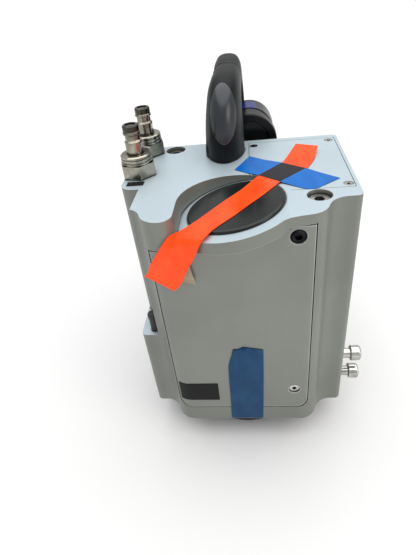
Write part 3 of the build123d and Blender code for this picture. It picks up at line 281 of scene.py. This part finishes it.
handle_finish = moulded_plastic("glass_filled_nylon", "#101213", "#181A1C", 0.45, relief=0.35,
                                gloss=0.12)
# Painted highlight: the inset's pale outline.
inset_finish = moulded_plastic("soft_touch_nylon", "#20262B", "#2B3238", 0.28, relief=0.15,
                               edge_highlight="#8E979E")
cap_finish = moulded_plastic("glossy_polyethylene", "#0F1414", "#161C1C", 0.2, relief=0.05,
                             scuff=0.2, gloss=0.35)
lens_cap_finish = moulded_plastic("satin_abs", "#121314", "#191A1B", 0.4)
rubber_finish = moulded_plastic("nitrile_rubber", "#101010", "#171717", 0.7)
camera_finish = moulded_plastic("satin_black_lacquer", "#0C0D0F", "#141518", 0.3, relief=0.1,
                                gloss=0.25)

# %% [markdown]
# ## Glass, mirror coating and circuit board
# The lenses are clear glass with a weak violet coating. The mirrors have a bright
# metal coating on fused silica. The boards are green solder mask over copper tracks,
# which run in straight lines, so a brick pattern draws them.

# %% Optics and electronics
def optical_glass():
    material, shader, place = start_material("coated_optical_glass")
    dust = noise(material, place, 1.5 * mm, detail=5)
    fill(material, shader, Base_Color=mix_colours(material, dust, "#EAF2F4", "#DDE6F2"),
         Roughness=ramp(material, dust, 0.5, 0.8, 0.02, 0.12), IOR=1.5, Transmission_Weight=1.0)
    return material


def mirror_coating():
    material, shader, place = start_material("silver_mirror_coating")
    haze = noise(material, place, 2 * mm, detail=3)
    fill(material, shader, Base_Color=mix_colours(material, haze, "#F2F2F0", "#E6E8EA"),
         Metallic=1.0, Roughness=ramp(material, haze, 0.4, 0.7, 0.02, 0.06))
    return material


def circuit_board():
    material, shader, place = start_material("green_solder_mask")
    turned = add_node(material, "ShaderNodeMapping",
                      {"Vector": place, "Rotation": (0, math.radians(90), 0)}).outputs[0]
    tracks = add_node(material, "ShaderNodeTexBrick", {
        "Vector": turned, "Scale": 1.0, "Mortar Size": 0.25 * mm, "Brick Width": 9 * mm,
        "Row Height": 2.2 * mm}).outputs["Fac"]
    fill(material, shader, Base_Color=mix_colours(material, tracks, "#1C5434", "#3C8A56"),
         Roughness=0.35)
    return material


glass_finish = optical_glass()
mirror_finish = mirror_coating()
board_finish = circuit_board()

# %% [markdown]
# ## Tape and plates
# Barrier tape is a thin glossy film with printed colour. It creases where it is
# folded, and it shines in narrow streaks along the creases. Masking film is the same
# in blue; the piece on the front carries a darker copy of the blue, a painted shade.
# The sleeve of the camera unit carries a blue film on one side only. The orange dye is
# fluorescent, and the orange film is given a weak emission, a painted glow, so that it
# sends back a little more light than a plain dye would. Plates are black lacquered foil
# with nothing on them.

# %% Glossy film
def glossy_film(name, base, shade, roughness=0.28, relief=0.4, painted_glow=0.0):
    material, shader, place = start_material(name)
    waves = noise(material, place, 4 * mm, detail=3, stretch=(1.0, 0.35, 0.6))
    colour = mix_colours(material, ramp(material, waves, 0.35, 0.65, 0.0, 1.0), base, shade)
    bump = add_node(material, "ShaderNodeBump",
                    {"Strength": relief, "Distance": 0.4 * mm, "Height": waves})
    fill(material, shader, Base_Color=colour, Roughness=roughness, Normal=bump.outputs[0],
         Specular_IOR_Level=0.18, Coat_Weight=0.05, Emission_Color=colour, Emission_Strength=painted_glow)
    return material


# Painted glow: a weak emission on the orange film.
orange_finish = glossy_film("orange_barrier_film", "#FF440A", "#FF541C", painted_glow=0.25)
blue_finish = glossy_film("blue_masking_film", "#0068C2", "#0A72CC")
# Painted shade: a darker copy of the blue film, for the piece on the front.
shaded_blue_finish = glossy_film("blue_film_painted_shade", "#0C3F68", "#144A74")
overlap_finish = glossy_film("blue_film_over_orange", "#0A0812", "#120E1A")


def half_wrapped_sleeve(film_end):
    """Black sleeve with a blue film that goes round it as far as x = film_end."""
    material, shader, place = start_material("black_sleeve_with_blue_film")
    across = add_node(material, "ShaderNodeSeparateXYZ", {"Vector": place}).outputs["X"]
    waves = noise(material, place, 4 * mm, detail=3)
    torn = add_node(material, "ShaderNodeMath", {0: waves, 1: 6 * mm, 2: across},
                    operation="MULTIPLY_ADD").outputs[0]
    film = ramp(material, torn, film_end + 2.5 * mm, film_end + 4.0 * mm, 1.0, 0.0)
    bump = add_node(material, "ShaderNodeBump",
                    {"Strength": 0.4, "Distance": 0.4 * mm, "Height": waves})
    fill(material, shader, Base_Color=mix_colours(material, film, "#101114", "#182C7C"),
         Roughness=0.28, Normal=bump.outputs[0], Specular_IOR_Level=0.3)
    return material


band_finish = half_wrapped_sleeve(17 * mm)
plate_finish = moulded_plastic("black_foil_plate", "#0C0D0D", "#131514", 0.55, relief=0.05,
                               gloss=0.2)

# %% [markdown]
# ## Dressing the frame
# Each finish goes to the parts that are made of it.

# %% Give each part its finish
dressing = {
    body_finish: ["housing", "top_cover_plate", "rear_module"],
    panel_finish: ["front_panel", "rear_module_cover"],
    plain_finish: ["base_plate", "galvo_bridge", "latch_block", "inlet_tube", "camera_saddle"],
    dark_finish: ["lens_barrel", "lens_spacers", "lens_retaining_ring", "glass_holder",
                  "glass_retainer", "x_galvo_stator", "y_galvo_stator", "collimator_tube"],
    nickel_finish: ["supply_nipple", "return_nipple", "supply_poppet", "return_poppet",
                    "fibre_socket", "power_connector", "data_connector"],
    polished_finish: ["upper_lock_knob", "lower_lock_knob", "x_rotor", "y_rotor"],
    screw_finish: ["panel_countersunk_screws", "top_cover_screws", "base_plate_screws",
                   "mounting_bolts", "handle_screws"],
    oxide_finish: ["panel_cap_screws", "lens_flange_screws"],
    bronze_finish: ["lock_knob_bushes", "board_standoffs"],
    handle_finish: ["carry_handle"],
    inset_finish: ["handle_inset_front", "handle_inset_rear"],
    cap_finish: ["port_cap", "camera_end_cap"],
    lens_cap_finish: ["lens_cap", "sensor_plug", "sensor_plug_cap"],
    rubber_finish: ["port_gasket", "nipple_seals"],
    camera_finish: ["camera_barrel"],
    band_finish: ["camera_band"],
    glass_finish: ["port_window", "protective_glass", "lens_lower", "lens_middle", "lens_upper"],
    mirror_finish: ["x_mirror", "y_mirror"],
    board_finish: ["x_driver_board", "y_driver_board"],
    orange_finish: ["barrier_tape"],
}
dressed = 0
for finish, names in dressing.items():
    for name in names:
        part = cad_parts[name]
        if not part.material_slots:
            part.data.materials.append(None)
        for part_slot in part.material_slots:
            part_slot.material = finish
        dressed += 1
print("parts dressed:", dressed, "of", len(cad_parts))


# %% [markdown]
# ## Strips of tape
# A strip of tape is modelled as it is laid down: it starts as one small plane, and
# its last edge is extruded again and again along the surface. Each cross edge is
# given by its two ends, so the strip can fan round a corner. Subdivision then rounds
# the folds, and Solidify gives the film its thickness.

# %% A strip extruded edge by edge
def place_ends(mesh, ends):
    """Puts the two selected vertices on the given ends, the nearer one on each."""
    picked = [v for v in mesh.verts if v.select]
    first, second = (Vector(e) * mm for e in ends)
    picked.sort(key=lambda v: v.co.dot(second - first))
    picked[0].co, picked[1].co = first, second


def laid_strip(name, edges, thickness, finish, cuts=3, smooth=True):
    """Strip of film whose cross edges are pairs of points in millimetres."""
    bpy.ops.object.select_all(action="DESELECT")
    bpy.ops.mesh.primitive_plane_add(size=1)
    piece = bpy.context.object
    piece.name = piece.data.name = name
    bpy.ops.object.mode_set(mode="EDIT")
    bpy.ops.mesh.select_mode(type="VERT")
    mesh = bmesh.from_edit_mesh(piece.data)
    for wanted, corner in zip((edges[0][0], edges[0][1], edges[1][0], edges[1][1]),
                              sorted(mesh.verts, key=lambda v: (v.co.y, v.co.x))):
        corner.co = Vector(wanted) * mm
    last = sorted(mesh.verts, key=lambda v: (v.co - Vector(edges[1][0]) * mm).length)[:1]
    last += sorted(mesh.verts, key=lambda v: (v.co - Vector(edges[1][1]) * mm).length)[:1]
    for vertex in mesh.verts:
        vertex.select = vertex in last
    mesh.select_flush_mode()
    for ends in edges[2:]:
        bpy.ops.mesh.extrude_edges_move()
        mesh = bmesh.from_edit_mesh(piece.data)
        place_ends(mesh, ends)
    bpy.ops.mesh.select_all(action="SELECT")
    bpy.ops.mesh.subdivide(number_cuts=cuts, smoothness=0.6 if smooth else 0.0)
    bmesh.update_edit_mesh(piece.data)
    bpy.ops.object.mode_set(mode="OBJECT")
    finish_film(piece, thickness, finish)
    return piece


def tint_between(piece, first, second, finish):
    """Gives a second finish to the faces whose centre lies between two lines in plan."""
    piece.data.materials.append(finish)

    def side(line, point):
        (x0, y0), (x1, y1) = line
        return (x1 - x0) * (point.y / mm - y0) - (y1 - y0) * (point.x / mm - x0)

    tinted = 0
    for face in piece.data.polygons:
        if side(first, face.center) > 0 > side(second, face.center):
            face.material_index = 1
            tinted += 1
    print(piece.name, "faces over the orange tape:", tinted)


def finish_film(piece, thickness, finish):
    """Thickness, soft shading, finish and frame data of a piece of film."""
    solid = piece.modifiers.new("film", "SOLIDIFY")
    solid.thickness = thickness * mm
    solid.offset = 0.0
    bpy.context.view_layer.objects.active = piece
    piece.select_set(True)
    bpy.ops.object.modifier_apply(modifier=solid.name)
    bpy.ops.object.shade_smooth_by_angle(angle=math.radians(40))
    piece.data.materials.append(finish)
    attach(piece, "root")
    bpy.ops.object.select_all(action="DESELECT")
    print(piece.name, len(piece.data.polygons), "faces")


# %% [markdown]
# ## Orange barrier tape
# The tape starts flat on the roof cover, turns, crosses the port cap and hangs over
# the left corner of the lip, clear of the front panel.

# %% Heights of the roof and of the port cap
roof_z = 209.3
port_x, port_z = 1.6, 204.1
port_slope = math.tan(math.radians(9.7))
cap_top = 1.9


def on_roof(x, y, lift=0.4):
    return (x, y, roof_z + lift)


def on_cap(x, y, lift=0.35):
    """Point of a tape that lies on the port cap."""
    return (x, y, port_z + port_slope * (x - port_x) + cap_top + lift)


# %% Lay the orange tape
orange_edges = [
    (on_roof(44.4, 41.6, 2.4), on_roof(58.9, 31.6, 3.4)),
    (on_roof(40.4, 31.9, 1.3), on_roof(55.6, 19.6, 1.2)),
    (on_roof(36.4, 22.0), on_roof(52.6, 10.6)),
    (on_roof(32.6, 13.0), on_roof(48.4, 1.6)),
    (on_roof(24.2, 3.2), on_roof(38.8, -8.0)),
    (on_roof(16.4, -5.6), on_roof(29.6, -17.4, 0.7)),
    (on_cap(12.4, -9.2), on_cap(26.0, -24.3)),
    (on_cap(4.8, -19.7), on_cap(18.3, -33.3)),
    (on_cap(-4.8, -29.1), on_cap(9.5, -42.2)),
    (on_cap(-13.1, -38.5), on_cap(1.7, -50.9)),
    (on_cap(-20.0, -46.4), on_cap(-6.3, -58.4)),
    (on_cap(-25.4, -51.7), on_cap(-11.0, -63.4)),
    (on_cap(-31.2, -56.6), on_cap(-13.4, -67.6)),
    ((-37.5, -60.4, 199.7), (-15.4, -70.8, 203.4)),
    ((-40.4, -62.0, 196.6), (-17.2, -72.4, 201.4)),
    ((-43.0, -62.4, 193.3), (-18.9, -72.0, 197.8)),
    ((-47.4, -61.4, 186.7), (-22.6, -70.6, 189.9)),
    ((-51.8, -59.8, 180.1), (-27.4, -68.6, 181.6)),
    ((-58.5, -56.0, 168.7), (-38.7, -65.0, 163.2)),
]
orange_tape = laid_strip("orange_tape", orange_edges, 0.12, orange_finish)
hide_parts("barrier_tape")

# %% [markdown]
# ## Blue masking film on the roof
# A short piece holds the orange tape down. Where it lies over the orange, the two
# colours add up to a dark violet, so those faces carry a finish of their own. Its
# right end stops at the counterbore of the front bolt.

# %% Lay the blue film on the roof
over_orange = 0.75
blue_edges = [
    (on_roof(0.4, 6.8, 0.25), on_roof(10.6, 29.3, 0.25)),
    (on_roof(8.2, 0.2, 0.25), on_roof(21.0, 20.6, 0.25)),
    (on_roof(16.4, -5.8, over_orange), on_roof(32.4, 12.4, over_orange)),
    (on_roof(29.4, -17.8, over_orange), on_roof(47.4, 0.4, over_orange)),
    (on_roof(37.5, -24.3, 0.3), on_roof(56.0, -7.6, 0.3)),
    (on_roof(44.4, -29.4, 0.2), on_roof(61.5, -12.6, 0.3)),
    (on_roof(50.0, -29.8, 0.2), on_roof(66.1, -16.8, 0.3)),
]
roof_film = laid_strip("roof_film", blue_edges, 0.1, blue_finish, smooth=False)
tape_front_side = ((29.4, -17.8), (47.4, 0.4))
tape_back_side = ((16.4, -5.8), (32.4, 12.4))
tint_between(roof_film, tape_front_side, tape_back_side, overlap_finish)

# %% [markdown]
# ## Blue film on the front
# A longer piece runs down the front panel, over the seam, round the lower edge and on
# to the cap of the lens, which it holds in place.

# %% Lay the blue film on the front
front_y, lens_cap_r = -60.5, 45.0


def cap_side(x, z, lift=0.35):
    return (x, -math.sqrt((lens_cap_r + lift) ** 2 - x * x), z)


def tear(piece, torn_edge):
    """Raises the free end of a strip to a torn outline of (x, z) points."""
    top = max(vertex.co.z for vertex in piece.data.vertices)
    for vertex in piece.data.vertices:
        if vertex.co.z < top - 2.0 * mm:
            continue
        x = vertex.co.x / mm
        for (x0, z0), (x1, z1) in zip(torn_edge, torn_edge[1:]):
            if x0 - 0.01 <= x <= x1 + 0.01:
                vertex.co.z = (z0 + (z1 - z0) * (x - x0) / (x1 - x0)) * mm


front_edges = [
    ((-6.0, front_y - 0.5, 105.7), (14.9, front_y - 0.4, 104.9)),
    ((-7.0, front_y - 0.6, 100.4), (14.9, front_y - 0.35, 100.0)),
    ((-9.0, front_y - 0.45, 94.0), (14.8, front_y - 0.35, 94.0)),
    ((-10.4, front_y - 0.35, 88.0), (14.7, front_y - 0.3, 87.0)),
    ((-10.9, front_y - 0.3, 73.5), (14.4, front_y - 0.3, 73.1)),
    ((-11.2, front_y - 0.3, 50.0), (13.8, front_y - 0.3, 50.0)),
    ((-11.6, front_y - 0.35, 36.0), (13.3, front_y - 0.35, 36.0)),
    ((-11.8, front_y - 0.35, 27.0), (13.0, front_y - 0.35, 27.0)),
    ((-11.8, front_y + 1.2, 25.3), (12.9, front_y + 1.2, 25.3)),
    ((-11.8, front_y + 8.0, 22.2), (12.8, front_y + 8.0, 22.2)),
    (cap_side(-11.6, 17.5), cap_side(12.6, 17.5)),
    (cap_side(-11.4, 5.0), cap_side(12.6, 4.0)),
]
# The front film takes the darker copy of the blue, a painted shade.
front_film = laid_strip("front_film", front_edges, 0.1, shaded_blue_finish, cuts=5,
                        smooth=False)
tear(front_film, [(-6.1, 105.7), (-2.5, 105.4), (1.0, 107.9), (4.5, 107.2),
                  (11.4, 105.7), (15.0, 104.9)])

# %% [markdown]
# ## Film tab and plates
# A corner of clear film sticks out from under the orange tape. Two black foil plates
# are glued on: one before the first nipple, one low on the front, where it follows
# the start of the left flank.

# %% Clear tab
tab_edges = [
    ((-34.0, -62.0, 181.5), (-27.2, -62.6, 181.0)),
    ((-35.6, -61.9, 174.0), (-26.0, -63.0, 173.0)),
    ((-36.4, -61.6, 167.9), (-24.8, -63.2, 166.0)),
]
tab_finish = glossy_film("clear_film", "#A79F86", "#B4AD96", roughness=0.3, relief=0.2)
laid_strip("film_tab", tab_edges, 0.1, tab_finish)

# %% Plates
flat_half, flank_r = 42.0, 13.54


def on_front(x, z, lift=0.15):
    """Point on the housing's front or on the start of its flank."""
    past = max(0.0, abs(x) - flat_half)
    return (x, front_y + flank_r - math.sqrt(flank_r**2 - past**2) - lift, z)


plate_stations = [-50.2, -48.6, -46.8, -44.6, -42.0, -30.0, -19.9]
plate_low, plate_high = 50.0, 69.2
plate_edges = [(on_front(x, plate_low), on_front(x, plate_high)) for x in plate_stations]
laid_strip("front_plate", plate_edges, 0.2, plate_finish, cuts=1,
           smooth=False)
marker_edges = [(on_roof(x, -8.6, 0.15), on_roof(x, -2.4, 0.15)) for x in (-72.2, -66.5, -60.6)]
laid_strip("port_marker", marker_edges, 0.2, plate_finish, cuts=1,
           smooth=False)

# %% [markdown]
# ## Studio
# The floor is plain and pale. A wide sun overhead gives the roof and the floor the
# same even light, and a weak lamp at the right opens the shadows. The backdrop is
# brighter where it is seen, directly, in a reflection or through glass, than where it
# only lights the head. The camera stands where a person looks down on the head.

# %% Floor and backdrop
def studio_floor():
    material, shader, place = start_material("pale_floor")
    cloud = noise(material, place, 400 * mm, detail=2)
    fill(material, shader, Base_Color=mix_colours(material, cloud, "#F4F4F4", "#F7F7F7"),
         Roughness=0.8)
    return material


bpy.ops.mesh.primitive_plane_add(size=60.0, location=(0, 0, -0.0002))
floor = bpy.context.object
floor.name = "studio_floor"
floor.data.materials.append(studio_floor())

world = bpy.data.worlds.new("studio")
bpy.context.scene.world = world
world.use_nodes = True
rays = add_node(world, "ShaderNodeLightPath").outputs
seen = rays["Is Camera Ray"]
for kind in ("Is Glossy Ray", "Is Transmission Ray"):
    seen = add_node(world, "ShaderNodeMath", {0: seen, 1: rays[kind]},
                    operation="MAXIMUM").outputs[0]
light_share, seen_share = 0.2, 0.68
backdrop = world.node_tree.nodes["Background"]
backdrop.inputs["Color"].default_value = linear("#FFFFFF")
strength = ramp(world, seen, 0.0, 1.0, light_share, seen_share)
world.node_tree.links.new(strength, backdrop.inputs["Strength"])


# %% Lamps
def soft_lamp(name, place, target, size, watts, colour):
    """Square area lamp that faces its target."""
    lamp = bpy.data.lights.new(name, "AREA")
    lamp.size = size
    lamp.energy = watts
    lamp.color = linear(colour)[:3]
    holder = bpy.data.objects.new(name, lamp)
    holder.location = place
    holder.rotation_euler = (Vector(target) - Vector(place)).to_track_quat("-Z", "Y").to_euler()
    bpy.context.collection.objects.link(holder)
    return holder


middle = (0.0, 0.0, 0.15)
sun = bpy.data.lights.new("wide_sun", "SUN")
sun.energy = 2.9
sun.angle = math.radians(90)
sun_holder = bpy.data.objects.new("wide_sun", sun)
sun_holder.rotation_euler = Vector((0.05, 0.08, 1.0)).to_track_quat("Z", "Y").to_euler()
bpy.context.collection.objects.link(sun_holder)
soft_lamp("side_lamp", (1.3, -0.7, 0.8), middle, 0.7, 5.0, "#FFF8EE")

# %% Camera
eye = Vector((0.01375, -0.2710, 0.3263))
view_right = Vector((0.99240, 0.07040, -0.10090))
view_up = Vector((0.03851, 0.60116, 0.79820))
view_back = view_right.cross(view_up).normalized()
camera_data = bpy.data.cameras.new("camera")
camera_data.lens = 27.87
camera_data.sensor_width = 36.0
camera_data.sensor_fit = "AUTO"
camera_data.clip_start = 0.01
camera = bpy.data.objects.new("camera", camera_data)
for row in range(3):
    camera.matrix_world[row][0] = view_right[row]
    camera.matrix_world[row][1] = view_up[row]
    camera.matrix_world[row][2] = view_back[row]
    camera.matrix_world[row][3] = eye[row]
bpy.context.collection.objects.link(camera)
bpy.context.scene.camera = camera
bpy.context.scene.view_settings.view_transform = "Standard"
